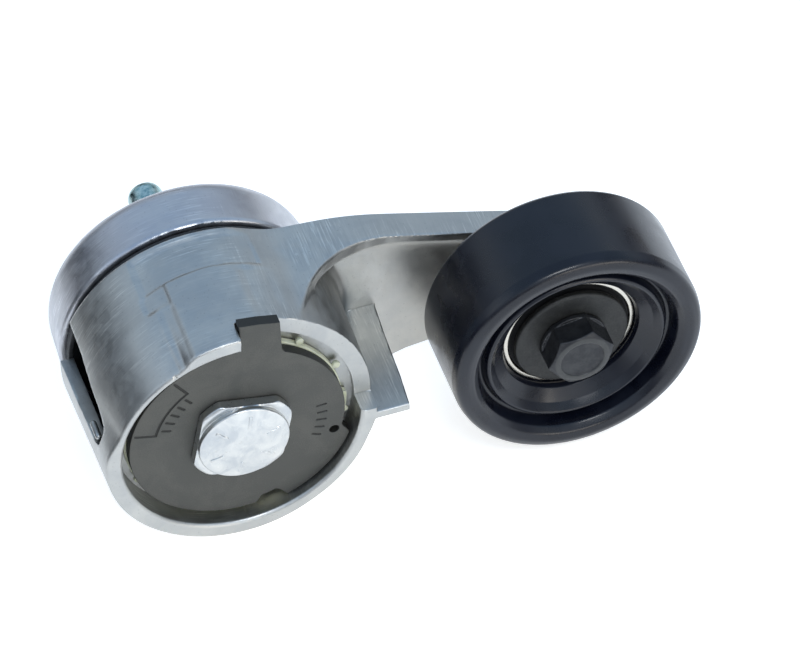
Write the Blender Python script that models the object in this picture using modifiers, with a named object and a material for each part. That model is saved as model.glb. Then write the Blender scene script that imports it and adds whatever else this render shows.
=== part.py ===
"""Automatic belt tensioner with a smooth idler pulley, as an assembly of separate bodies.

Frame: metres, +Z up. The pivot axis and the pulley axis both run along Y and the front faces -Y.
The origin is the centre of the flat mounting pad at the back. The arm points along +X.
Every body is laid out in a local frame (x along the arm, y up, w towards the front), in millimetres,
where w = 0 is the front rim of the arm and w = -DEPTH is the mounting pad.
"""

import math

import bmesh
import bpy
from mathutils import Matrix

# ---------------------------------------------------------------- driving dimensions, mm
DEPTH = 68.0            # mounting pad to front rim of the arm cup
CENTRES = 101.0         # pivot axis to pulley axis
GAP = 0.3               # running gap between neighbouring bodies

RIM_R = 40.2            # arm cup, outside radius at the front
CUP_REAR_R = 41.6       # arm cup, outside radius at the rear
CUP_REAR_W = -43.7
RECESS_R = 35.5         # recess that holds the cap plate
RECESS_W = -9.0
CHAMBER_R = 37.2        # spring chamber
CHAMBER_W = -14.0
HUB_OUT_R = 17.0
HUB_BORE_R = 12.6
HUB_REAR_W = -46.0

BASE_R = 40.7
BASE_TAIL_R = 39.8
BASE_FRONT_W = -47.4
BASE_BACK_W = -67.0
FLOOR_W = -61.0
POST_R = 16.0
POST_FRONT_W = -48.0
PAD_R = 20.0
BOLT_HOLE_R = 5.6

TUBE_R = 9.5
TUBE_BORE_R = 6.4
TUBE_REAR_W = -64.4

PLATE_FRONT_W = -3.0
PLATE_T = 3.5
PLATE_R = 32.7
PLATE_SLIM_R = 31.5
PLATE_LOBE_R = 34.8
TAB_X = (2.1, 14.0)
TAB_END_R = 42.6

HEAD_FRONT_W = 3.0      # mounting bolt head
HEAD_FLAT = 13.6
HEAD_CORNER_R = 16.2
SHANK_R = 5.0
SHANK_REAR_W = -90.0

WINDOW = (-3.0, 87.6)   # stop window in the rim, degrees round the pivot
WINDOW_W = -7.0

PULLEY_R = 38.0         # belt track
PULLEY_FRONT_W = 3.2
PULLEY_REAR_W = -27.2
RACE_OUT_R = 20.0       # ball bearing, 17 x 40 x 12
RACE_BORE_R = 8.5
BEARING_W = (-19.3, -7.3)
PITCH_R = 14.25
BALL_R = 3.37
BALLS = 8

PULLEY_BOLT_R = 5.0
PULLEY_BOLT_FLATS = 17.7
PULLEY_BOLT_W = (-4.3, 4.6)

SPRING_R = 26.8
SPRING_WIRE_R = 3.2
SPRING_W = (-20.0, -56.0)
SPRING_TURNS = 4.5

MM = 0.001
UP = Matrix.Rotation(math.radians(90), 4, "X")

for old in list(bpy.data.objects):
    bpy.data.objects.remove(old, do_unlink=True)

parts = bpy.data.collections.new("belt_tensioner")
cutters = bpy.data.collections.new("cutters")
bpy.context.scene.collection.children.link(parts)
bpy.context.scene.collection.children.link(cutters)
cutters.hide_render = True


# ---------------------------------------------------------------- helpers
def material(name, colour, metallic, roughness):
    made = bpy.data.materials.new(name)
    made.use_nodes = True
    shader = made.node_tree.nodes["Principled BSDF"]
    shader.inputs["Base Color"].default_value = (*colour, 1.0)
    shader.inputs["Metallic"].default_value = metallic
    shader.inputs["Roughness"].default_value = roughness
    made.diffuse_color = (*colour, 1.0)
    return made


def place(obj, x=0.0):
    """Puts the local frame of the layout into the world, with the origin on the axis at x."""
    obj.matrix_world = Matrix.Translation((x * MM, -DEPTH * MM, 0.0)) @ UP


def add(name, mesh, x=0.0, helper=False):
    obj = bpy.data.objects.new(name, mesh)
    (cutters if helper else parts).objects.link(obj)
    if helper:
        obj.hide_render = True
        obj.display_type = "WIRE"
    place(obj, x)
    return obj


def signed_area(points):
    return 0.5 * sum(
        points[i][0] * points[(i + 1) % len(points)][1]
        - points[(i + 1) % len(points)][0] * points[i][1]
        for i in range(len(points))
    )


def revolve(name, points, x=0.0, steps=64, solid=False, helper=False):
    """A turned body from a profile of (radius, w). A solid one starts and ends on the axis."""
    if (signed_area(points) > 0):
        points = points[::-1]
    if solid:
        start = max(i for i in range(len(points)) if points[i][0] < 1e-9 and points[i - 1][0] < 1e-9)
        points = points[start:] + points[:start]
    mesh = bpy.data.meshes.new(name)
    edges = [(i, i + 1) for i in range(len(points) - 1)]
    if not solid:
        edges.append((len(points) - 1, 0))
    mesh.from_pydata([(r * MM, 0.0, w * MM) for r, w in points], edges, [])
    obj = add(name, mesh, x, helper)
    screw = obj.modifiers.new("turn", "SCREW")
    screw.axis = "Z"
    screw.steps = screw.render_steps = steps
    screw.use_merge_vertices = True
    screw.merge_threshold = 0.00001
    screw.use_smooth_shade = True
    return obj


def prism_mesh(name, outlines, low, high):
    """A flat outline (with holes as further outlines) pushed through from low to high."""
    curve = bpy.data.curves.new(name, "CURVE")
    curve.dimensions = "2D"
    curve.fill_mode = "BOTH"
    curve.extrude = 0.5 * (high - low) * MM
    for outline in outlines:
        spline = curve.splines.new("POLY")
        spline.points.add(len(outline) - 1)
        for point, (px, py) in zip(spline.points, outline):
            point.co = (px * MM, py * MM, 0.0, 1.0)
        spline.use_cyclic_u = True
    holder = bpy.data.objects.new(name, curve)
    bpy.context.scene.collection.objects.link(holder)
    bpy.context.view_layer.update()
    made = bpy.data.meshes.new_from_object(holder.evaluated_get(bpy.context.evaluated_depsgraph_get()))
    bpy.data.objects.remove(holder, do_unlink=True)
    work = bmesh.new()
    work.from_mesh(made)
    bmesh.ops.remove_doubles(work, verts=work.verts, dist=1e-7)
    bmesh.ops.translate(work, verts=work.verts, vec=(0, 0, 0.5 * (low + high) * MM))
    bmesh.ops.recalc_face_normals(work, faces=work.faces)
    work.to_mesh(made)
    work.free()
    made.name = name
    return made


def prism(name, outlines, low, high, x=0.0, helper=False):
    return add(name, prism_mesh(name, outlines, low, high), x, helper)


def side_prism(name, outline, y_low, y_high, helper=True):
    """An outline of (x, w) pushed through along the local y."""
    mesh = prism_mesh(name, [[(px, -pw) for px, pw in outline]], y_low, y_high)
    mesh.transform(Matrix.Rotation(math.radians(-90), 4, "X"))
    return add(name, mesh, 0.0, helper)


def arc(radius, a0, a1, count, cx=0.0, cy=0.0):
    out = []
    for i in range(count + 1):
        a = math.radians(a0 + (a1 - a0) * i / count)
        out.append((cx + radius * math.cos(a), cy + radius * math.sin(a)))
    return out


def sector(r0, r1, a0, a1, count):
    return arc(r0, a0, a1, count) + arc(r1, a1, a0, count)


def boolean(obj, other, operation="DIFFERENCE"):
    cut = obj.modifiers.new(operation.lower() + "_" + other.name, "BOOLEAN")
    cut.operation = operation
    cut.object = other
    cut.solver = "EXACT"
    return cut


def bevel(obj, width, segments=2, angle=40):
    soft = obj.modifiers.new("edges", "BEVEL")
    soft.width = width * MM
    soft.segments = segments
    soft.limit_method = "ANGLE"
    soft.angle_limit = math.radians(angle)
    soft.harden_normals = False
    return soft


def finish_part(obj, made, smooth=35):
    obj.data.materials.clear()
    obj.data.materials.append(made)
    if obj.data.polygons:
        obj.data.polygons.foreach_set("use_smooth", [True] * len(obj.data.polygons))
        obj.data.set_sharp_from_angle(angle=math.radians(smooth))
    return obj


# ---------------------------------------------------------------- materials
cast = material("cast_aluminium", (0.62, 0.64, 0.66), 0.9, 0.42)
cast_base = material("cast_aluminium_base", (0.58, 0.60, 0.63), 0.9, 0.45)
plate_steel = material("phosphated_steel", (0.140, 0.135, 0.115), 0.6, 0.55)
zinc = material("zinc_steel", (0.80, 0.80, 0.78), 1.0, 0.25)
pin_steel = material("pin_steel", (0.45, 0.52, 0.52), 1.0, 0.35)
tube_steel = material("tube_steel", (0.50, 0.50, 0.50), 1.0, 0.35)
nylon = material("natural_nylon", (0.62, 0.62, 0.48), 0.0, 0.55)
nylon_dark = material("black_nylon", (0.03, 0.03, 0.03), 0.0, 0.6)
bush = material("bushing_polymer", (0.25, 0.20, 0.12), 0.0, 0.5)
spring_steel = material("spring_steel", (0.12, 0.12, 0.12), 0.9, 0.4)
leaf_steel = material("leaf_steel", (0.35, 0.35, 0.37), 1.0, 0.3)
pulley_paint = material("black_e_coat", (0.012, 0.014, 0.020), 0.2, 0.18)
race_steel = material("bearing_steel", (0.75, 0.75, 0.74), 1.0, 0.15)
inner_steel = material("inner_race_steel", (0.70, 0.70, 0.70), 1.0, 0.2)
ball_steel = material("ball_steel", (0.80, 0.80, 0.80), 1.0, 0.08)
cage_metal = material("cage_steel", (0.55, 0.52, 0.45), 0.9, 0.35)
seal_rubber = material("seal_rubber", (0.02, 0.02, 0.02), 0.0, 0.7)
cap_black = material("dust_cap_black", (0.035, 0.036, 0.034), 0.3, 0.5)
shield_steel = material("dust_shield_steel", (0.40, 0.40, 0.40), 1.0, 0.4)
spacer_steel = material("spacer_steel", (0.48, 0.48, 0.48), 1.0, 0.4)
bolt_black = material("black_oxide_steel", (0.030, 0.031, 0.033), 0.6, 0.42)


# ---------------------------------------------------------------- base housing
back = -DEPTH
shoulder = [
    (BASE_TAIL_R - 2.5 * (1 - math.cos(t)), -64.5 - 2.5 * math.sin(t))
    for t in [math.radians(a) for a in (0, 22, 45, 68, 90)]
]
base_profile = [
    (BASE_R - 0.7, BASE_FRONT_W), (BASE_R - 0.2, BASE_FRONT_W - 0.2), (BASE_R, BASE_FRONT_W - 0.7),
    *shoulder,
    (PAD_R + 1.0, BASE_BACK_W), (PAD_R, back),
    (BOLT_HOLE_R, back), (BOLT_HOLE_R, TUBE_REAR_W - GAP), (TUBE_R + GAP, TUBE_REAR_W - GAP),
    (TUBE_R + GAP, POST_FRONT_W), (POST_R - 1.0, POST_FRONT_W), (POST_R, POST_FRONT_W - 1.0),
    (POST_R, FLOOR_W), (CHAMBER_R - 2.0, FLOOR_W), (CHAMBER_R, FLOOR_W + 2.0), (CHAMBER_R, BASE_FRONT_W),
]
base_housing = revolve("base_housing", base_profile, steps=48)
PIN_X, PIN_Y, PIN_R = -4.9, 27.2, 5.2
pin_seat = revolve(
    "pin_seat", [(0, -63.4), (0, -75.0), (PIN_R + GAP, -75.0), (PIN_R + GAP, -63.4)], steps=24, solid=True, helper=True)
pin_seat.matrix_world = Matrix.Translation((PIN_X * MM, -DEPTH * MM, PIN_Y * MM)) @ UP
boolean(base_housing, pin_seat)
finish_part(base_housing, cast_base)

locating_pin = revolve(
    "locating_pin",
    [(0, -63.8), (0, -77.4), (PIN_R - 1.2, -77.4), (PIN_R - 0.35, -76.7), (PIN_R, -75.4), (PIN_R, -63.8)],
    steps=24, solid=True)
locating_pin.matrix_world = Matrix.Translation((PIN_X * MM, -DEPTH * MM, PIN_Y * MM)) @ UP
finish_part(locating_pin, pin_steel)

pivot_tube = revolve(
    "pivot_tube",
    [(TUBE_BORE_R, -6.8), (TUBE_R - 0.5, -6.8), (TUBE_R, -7.3), (TUBE_R, TUBE_REAR_W), (TUBE_BORE_R, TUBE_REAR_W)],
    steps=28)
finish_part(pivot_tube, tube_steel)

# ---------------------------------------------------------------- arm housing
arm_profile = [
    (0, 0.0), (RIM_R - 0.9, 0.0), (RIM_R, -0.9),
    (CUP_REAR_R, CUP_REAR_W + 0.6), (CUP_REAR_R - 0.6, CUP_REAR_W),
    (HUB_OUT_R - 0.5, CUP_REAR_W), (HUB_OUT_R - 0.5, HUB_REAR_W + 0.5), (HUB_OUT_R - 1.0, HUB_REAR_W), (0, HUB_REAR_W),
]
arm_housing = revolve("arm_housing", arm_profile, steps=48, solid=True)

TOP_LINE = [(20.0, 34.2), (24.0, 33.9), (34.0, 33.5), (46.0, 32.2), (60.0, 28.0), (90.0, 18.3), (103.0, 14.1)]
BOSS_R = 14.0
boss_edge = arc(BOSS_R, 72, -66, 14, CENTRES, 0.0)
web_outline = TOP_LINE[:-1] + boss_edge + [
    (68.5, -25.9), (57.6, -27.8), (44.0, -31.5), (30.0, -38.0 + 8.0), (25.0, -28.0), (25.0, 28.0)]
web = prism("arm_web", [web_outline], CUP_REAR_W + 0.3, -40.6, helper=True)
rib_outline = TOP_LINE + [(px + 0.8, py - 4.6) for px, py in TOP_LINE[::-1]]
rib = prism("arm_rib", [rib_outline], CUP_REAR_W + 0.15, -8.0, helper=True)
rib_front = side_prism(
    "arm_rib_front",
    [(15.0, -47.0), (15.0, -10.0), (22.5, -11.0), (25.0, -15.5), (28.5, -21.5), (33.5, -26.6), (40.0, -30.6), (47.0, -33.3),
     (55.0, -34.8), (120.0, -35.3), (120.0, -47.0)],
    0.0, 50.0)
boolean(rib, rib_front, "INTERSECT")
boss = revolve(
    "arm_boss",
    [(0, -24.0), (0, CUP_REAR_W), (BOSS_R, CUP_REAR_W), (BOSS_R, -32.0), (BOSS_R - 2.0, -24.0)],
    x=CENTRES, steps=40, solid=True, helper=True)
lug = side_prism("arm_lug", [(37.0, -1.0), (37.0, CUP_REAR_W + 0.45), (53.4, CUP_REAR_W + 0.45), (50.4, -1.0)], -6.6, -3.9)
chamber_plug = revolve(
    "chamber_clear",
    [(HUB_OUT_R, CHAMBER_W - 1.5), (HUB_OUT_R, -50.0), (CHAMBER_R, -50.0), (CHAMBER_R, CHAMBER_W - 2.0), (CHAMBER_R - 2.0, CHAMBER_W),
     (HUB_OUT_R + 1.5, CHAMBER_W)],
    steps=48, helper=True)
recess_plug = revolve(
    "recess_clear",
    [(0, 5.0), (0, -60.0), (HUB_BORE_R, -60.0), (HUB_BORE_R, RECESS_W), (RECESS_R, RECESS_W), (RECESS_R, -0.5), (RECESS_R + 0.5, 0.0), (RECESS_R + 0.5, 5.0)],
    steps=48, solid=True, helper=True)
window = prism("rim_window", [sector(31.0, 47.0, WINDOW[0], WINDOW[1], 18)], WINDOW_W, 6.0, helper=True)
slot = prism("side_slot", [sector(30.0, 47.0, 163.0, 181.0, 5)], -46.0, -17.0, helper=True)
bolt_seat = revolve(
    "boss_thread",
    [(0, -20.0), (0, -41.6), (PULLEY_BOLT_R + GAP, -41.6), (PULLEY_BOLT_R + GAP, -20.0)],
    x=CENTRES, steps=24, solid=True, helper=True)
for joined in (web, rib, boss, lug):
    boolean(arm_housing, joined, "UNION")
for cut in (chamber_plug, recess_plug, window, slot, bolt_seat):
    boolean(arm_housing, cut)
finish_part(arm_housing, cast)

# ---------------------------------------------------------------- pieces on the pivot
plate_outline = (
    arc(PLATE_SLIM_R, -16.0, 63.0, 12)
    + [(TAB_X[1], 29.0), (TAB_X[1], math.sqrt(TAB_END_R ** 2 - TAB_X[1] ** 2)),
       (0.5 * sum(TAB_X), TAB_END_R - 0.9), (TAB_X[0], math.sqrt(TAB_END_R ** 2 - TAB_X[0] ** 2)), (TAB_X[0], 31.4)]
    + arc(PLATE_R, 90.0, 277.0, 28)
    + arc(30.4, 279.0, 290.0, 3)
    + arc(PLATE_LOBE_R, 292.0, 340.0, 9)
)
plate_hole = arc(SHANK_R + 0.4, 0, 345, 23)
small_hole = arc(1.4, 0, 330, 11, 29.6 * math.cos(math.radians(-19.5)), 29.6 * math.sin(math.radians(-19.5)))
cap_plate = prism("cap_plate", [plate_outline, plate_hole, small_hole], PLATE_FRONT_W - PLATE_T, PLATE_FRONT_W)
finish_part(cap_plate, plate_steel)

washer_outline = (
    arc(34.6, 90.0, 360.0, 40) + arc(33.0, 2.0, 17.0, 3) + arc(34.4, 18.0, 26.0, 2) + arc(33.0, 27.0, 48.0, 4)
    + arc(34.4, 49.0, 58.0, 2) + arc(33.0, 59.0, 88.0, 6))
thrust_washer = prism("thrust_washer", [washer_outline, arc(13.3, 0, 350, 35)], -8.7, -6.8)
finish_part(thrust_washer, nylon)

for name, low, high in (("pivot_bushing_front", -25.0, -9.4), ("pivot_bushing_rear", -45.6, -30.0)):
    bushing = revolve(
        name,
        [(TUBE_R + GAP, high), (HUB_BORE_R - GAP, high), (HUB_BORE_R - GAP, low), (TUBE_R + GAP, low)],
        steps=28)
    finish_part(bushing, bush)

rear_wear_ring = revolve(
    "rear_wear_ring",
    [(37.5, -44.0), (38.9, -44.0), (38.9, -47.1), (37.5, -47.1)], steps=40)
finish_part(rear_wear_ring, nylon_dark)

coil = bpy.data.curves.new("torsion_spring", "CURVE")
coil.dimensions = "3D"
coil.bevel_depth = SPRING_WIRE_R * MM
coil.bevel_resolution = 2
coil.use_fill_caps = True
line = coil.splines.new("POLY")
TURN_STEPS = 14
count = int(SPRING_TURNS * TURN_STEPS)
line.points.add(count)
for i in range(count + 1):
    share = i / count
    a = 2 * math.pi * SPRING_TURNS * share + math.radians(200)
    line.points[i].co = (
        SPRING_R * math.cos(a) * MM, SPRING_R * math.sin(a) * MM,
        (SPRING_W[0] + (SPRING_W[1] - SPRING_W[0]) * share) * MM, 1.0)
torsion_spring = bpy.data.objects.new("torsion_spring", coil)
parts.objects.link(torsion_spring)
place(torsion_spring)
coil.materials.append(spring_steel)
weld = torsion_spring.modifiers.new("weld", "WELD")
weld.merge_threshold = 0.000005

damping_shoe = prism("damping_shoe", [sector(33.4, 36.7, 120.0, 240.0, 24)], -58.2, -47.0)
finish_part(damping_shoe, nylon_dark)
damper_spring = prism("damper_spring", [sector(31.4, 32.8, 130.0, 230.0, 16)], -57.5, -49.5)
finish_part(damper_spring, leaf_steel)

# ---------------------------------------------------------------- mounting bolt
head_turn = [
    (0, HEAD_FRONT_W), (HEAD_FLAT - 0.4, HEAD_FRONT_W), (HEAD_FLAT, HEAD_FRONT_W - 0.4), (HEAD_FLAT, HEAD_FRONT_W - 1.5),
    (HEAD_CORNER_R, HEAD_FRONT_W - 2.3), (HEAD_CORNER_R, PLATE_FRONT_W + GAP),
    (SHANK_R, PLATE_FRONT_W + GAP), (SHANK_R, SHANK_REAR_W + 1.5), (SHANK_R - 1.2, SHANK_REAR_W), (0, SHANK_REAR_W),
]
mounting_bolt = revolve("mounting_bolt", head_turn, steps=32, solid=True)
HEAD_TURN = 78.0
flats = HEAD_FLAT / math.cos(math.radians(45))
square = prism(
    "head_square",
    [[(flats * math.cos(math.radians(HEAD_TURN + 45 + 90 * k)), flats * math.sin(math.radians(HEAD_TURN + 45 + 90 * k))) for k in range(4)]],
    SHANK_REAR_W - 2.0, HEAD_FRONT_W + 2.0, helper=True)
boolean(mounting_bolt, square, "INTERSECT")
finish_part(mounting_bolt, zinc)

# ---------------------------------------------------------------- pulley and bearing
pulley_profile = [
    # front, from the bore outwards
    (RACE_OUT_R + GAP, -6.6), (20.9, -5.4), (24.4, -2.6), (26.9, -0.2), (27.7, -0.5), (28.5, -2.0),
    (29.7, -1.2), (30.6, 1.2), (32.2, 2.8), (34.5, PULLEY_FRONT_W), (36.3, 2.6), (PULLEY_R - 0.5, 1.1), (PULLEY_R, -0.9),
    # belt track
    (PULLEY_R, -24.6), (PULLEY_R - 0.5, -26.1), (36.6, PULLEY_REAR_W),
    (33.6, PULLEY_REAR_W), (32.7, -26.4),
    # inside, back towards the bore
    (32.7, -6.6), (30.8, -4.9), (27.0, -4.6), (24.6, -6.4), (23.0, -9.6), (23.0, -19.6), (RACE_OUT_R + GAP, -19.6),
]
pulley = revolve("pulley", pulley_profile, x=CENTRES, steps=48)
finish_part(pulley, pulley_paint)

mid_w = 0.5 * sum(BEARING_W)
groove = BALL_R + GAP
SHOULDER_IN = 12.2
SHOULDER_OUT = 16.9


def groove_points(shoulder_r, side):
    """Points round the raceway groove, from the front shoulder to the rear one."""
    reach = abs(PITCH_R - shoulder_r)
    open_angle = math.acos(reach / groove)
    out = []
    for i in range(6):
        a = -open_angle + 2 * open_angle * i / 5
        out.append((PITCH_R + side * groove * math.cos(a), mid_w - groove * math.sin(a)))
    return out


outer_profile = [
    (18.3, BEARING_W[1] - 0.4), (18.8, BEARING_W[1]), (RACE_OUT_R - 0.5, BEARING_W[1]), (RACE_OUT_R, BEARING_W[1] - 0.6),
    (RACE_OUT_R, BEARING_W[0] + 0.6), (RACE_OUT_R - 0.6, BEARING_W[0]), (18.3, BEARING_W[0]),
    (18.3, BEARING_W[0] + 1.6), (SHOULDER_OUT, BEARING_W[0] + 1.9),
    *groove_points(SHOULDER_OUT, 1)[::-1],
    (SHOULDER_OUT, BEARING_W[1] - 1.9), (18.3, BEARING_W[1] - 1.6),
]
bearing_outer_race = revolve("bearing_outer_race", outer_profile, x=CENTRES, steps=32)
finish_part(bearing_outer_race, race_steel)

inner_profile = [
    (RACE_BORE_R, BEARING_W[1] - 0.5), (RACE_BORE_R + 0.5, BEARING_W[1]), (SHOULDER_IN - 0.3, BEARING_W[1]), (SHOULDER_IN, BEARING_W[1] - 0.4),
    *groove_points(SHOULDER_IN, -1),
    (SHOULDER_IN, BEARING_W[0] + 0.4), (SHOULDER_IN - 0.3, BEARING_W[0]), (RACE_BORE_R + 0.5, BEARING_W[0]), (RACE_BORE_R, BEARING_W[0] + 0.5),
]
bearing_inner_race = revolve("bearing_inner_race", inner_profile, x=CENTRES, steps=28)
finish_part(bearing_inner_race, inner_steel)

for name, low, high in (
    ("bearing_seal_front", BEARING_W[1] - 1.3, BEARING_W[1] - 0.6),
    ("bearing_seal_rear", BEARING_W[0] + 0.6, BEARING_W[0] + 1.3),
):
    seal = revolve(name, [(SHOULDER_IN + 0.3, high), (18.0, high), (18.0, low), (SHOULDER_IN + 0.3, low)], x=CENTRES, steps=32)
    finish_part(seal, seal_rubber)

cage = revolve(
    "bearing_cage",
    [(13.2, mid_w + 4.2), (15.3, mid_w + 4.2), (15.3, mid_w - 4.2), (13.2, mid_w - 4.2)], x=CENTRES, steps=24)
for i in range(BALLS):
    a = 2 * math.pi * (i + 0.5) / BALLS
    bx, by = PITCH_R * math.cos(a), PITCH_R * math.sin(a)
    for name, radius, helper in (("ball_%d" % (i + 1), BALL_R, False), ("pocket_%d" % (i + 1), BALL_R + GAP, True)):
        ball_mesh = bpy.data.meshes.new(name)
        shape = bmesh.new()
        bmesh.ops.create_uvsphere(shape, u_segments=10, v_segments=6, radius=radius * MM)
        shape.to_mesh(ball_mesh)
        shape.free()
        ball = add(name, ball_mesh, 0.0, helper)
        ball.matrix_world = Matrix.Translation(((CENTRES + bx) * MM, -(mid_w + DEPTH) * MM, by * MM)) @ UP
        if helper:
            boolean(cage, ball)
        else:
            finish_part(ball, ball_steel, 60)
finish_part(cage, cage_metal)

dust_cap_front = revolve(
    "dust_cap_front",
    [(PULLEY_BOLT_R + GAP, PULLEY_BOLT_W[0] - GAP), (15.6, PULLEY_BOLT_W[0] - GAP), (16.3, PULLEY_BOLT_W[0] - 0.9),
     (16.3, -6.4), (15.3, -6.4), (15.3, -5.9), (11.4, -5.9), (11.4, BEARING_W[1] + GAP), (PULLEY_BOLT_R + GAP, BEARING_W[1] + GAP)],
    x=CENTRES, steps=36)
finish_part(dust_cap_front, cap_black)

dust_shield_rear = revolve(
    "dust_shield_rear",
    [(PULLEY_BOLT_R + GAP, BEARING_W[0] - GAP), (11.6, BEARING_W[0] - GAP), (13.0, -20.4), (17.4, -20.4), (17.4, -21.4), (PULLEY_BOLT_R + GAP, -21.4)],
    x=CENTRES, steps=32)
finish_part(dust_shield_rear, shield_steel)

rear_spacer = revolve(
    "rear_spacer",
    [(PULLEY_BOLT_R + GAP, -21.7), (11.0, -21.7), (11.0, -23.7), (PULLEY_BOLT_R + GAP, -23.7)], x=CENTRES, steps=28)
finish_part(rear_spacer, spacer_steel)

across = 0.5 * PULLEY_BOLT_FLATS / math.cos(math.radians(30))
pulley_bolt = revolve(
    "pulley_bolt",
    [(0, PULLEY_BOLT_W[1] - 0.3), (6.9, PULLEY_BOLT_W[1] - 0.3), (7.2, PULLEY_BOLT_W[1]), (0.5 * PULLEY_BOLT_FLATS - 0.4, PULLEY_BOLT_W[1]),
     (across + 0.05, PULLEY_BOLT_W[1] - 1.1), (across + 0.05, PULLEY_BOLT_W[0]), (PULLEY_BOLT_R, PULLEY_BOLT_W[0]),
     (PULLEY_BOLT_R, -40.0), (PULLEY_BOLT_R - 1.1, -41.2), (0, -41.2)],
    x=CENTRES, steps=36, solid=True)
hexagon = prism(
    "bolt_hexagon",
    [[(across * math.cos(math.radians(60 * k + 9.0)), across * math.sin(math.radians(60 * k + 9.0))) for k in range(6)]],
    -45.0, 8.0, x=CENTRES, helper=True)
boolean(pulley_bolt, hexagon, "INTERSECT")
finish_part(pulley_bolt, bolt_black)

bpy.context.view_layer.update()
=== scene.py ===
"""Automatic belt tensioner with a smooth idler pulley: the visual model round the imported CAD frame.

Shapes are laid out in the part's own frame in millimetres (x along the arm, y up, w towards the front,
w = 0 at the front rim of the arm and w = -68 at the mounting pad), then placed in the row frame in metres.
"""

import math

import bmesh
import bpy
import numpy as np
from mathutils import Matrix, Vector


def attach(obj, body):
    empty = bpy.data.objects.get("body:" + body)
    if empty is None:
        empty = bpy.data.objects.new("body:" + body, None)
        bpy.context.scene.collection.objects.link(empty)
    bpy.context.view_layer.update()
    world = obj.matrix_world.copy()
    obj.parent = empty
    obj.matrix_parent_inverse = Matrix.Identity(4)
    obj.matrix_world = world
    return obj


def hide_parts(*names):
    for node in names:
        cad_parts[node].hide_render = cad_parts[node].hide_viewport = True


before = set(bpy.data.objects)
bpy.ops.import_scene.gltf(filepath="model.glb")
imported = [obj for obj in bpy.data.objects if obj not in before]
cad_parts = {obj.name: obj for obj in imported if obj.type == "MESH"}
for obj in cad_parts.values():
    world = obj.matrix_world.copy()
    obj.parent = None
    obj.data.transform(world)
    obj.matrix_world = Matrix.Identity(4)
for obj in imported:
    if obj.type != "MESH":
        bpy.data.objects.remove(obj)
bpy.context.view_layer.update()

DEPTH = 68.0
CENTRES = 101.0
bpy.context.scene.view_settings.view_transform = "Standard"


# ---------------------------------------------------------------- mesh helpers
def to_row(points, x=0.0):
    """Layout millimetres (x, y, w) to row-frame metres."""
    out = np.empty_like(points, dtype=np.float64)
    out[:, 0] = points[:, 0] + x
    out[:, 1] = -points[:, 2] - DEPTH
    out[:, 2] = points[:, 1]
    return out * 0.001


def mesh_object(name, points, quads, made, smooth_angle=32.0):
    mesh = bpy.data.meshes.new(name)
    faces = np.asarray(quads, dtype=np.int64)
    count, corners = faces.shape
    mesh.vertices.add(len(points))
    mesh.vertices.foreach_set("co", np.asarray(points, np.float32).ravel())
    mesh.loops.add(count * corners)
    mesh.loops.foreach_set("vertex_index", faces.astype(np.int32).ravel())
    mesh.polygons.add(count)
    mesh.polygons.foreach_set("loop_start", (np.arange(count) * corners).astype(np.int32))
    mesh.polygons.foreach_set("loop_total", np.full(count, corners, np.int32))
    mesh.update(calc_edges=True)
    mesh.validate()
    mesh.polygons.foreach_set("use_smooth", np.ones(len(mesh.polygons), bool))
    if smooth_angle:
        mesh.set_sharp_from_angle(angle=math.radians(smooth_angle))
    obj = bpy.data.objects.new(name, mesh)
    bpy.context.scene.collection.objects.link(obj)
    mesh.materials.append(made)
    return obj


def crossing(field, start, axis, h, f0, f1):
    """Where the surface cuts grid edges that start at these points and run one step along the axis."""
    lo = np.zeros(len(start))
    hi = np.ones(len(start))
    a, b = f0.astype(np.float64), f1.astype(np.float64)
    for turn in range(4):
        t = np.clip(lo + (hi - lo) * (a / (a - b)), lo, hi) if turn < 3 else 0.5 * (lo + hi)
        p = start.copy()
        p[:, axis] += t * h
        f = field(p[:, 0], p[:, 1], p[:, 2])
        same = (f < 0) == (a < 0)
        lo, a = np.where(same, t, lo), np.where(same, f, a)
        hi, b = np.where(same, hi, t), np.where(same, b, f)
    t = np.clip(lo + (hi - lo) * (a / np.where(a == b, 1.0, a - b)), lo, hi)
    p = start.copy()
    p[:, axis] += t * h
    return p


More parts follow.
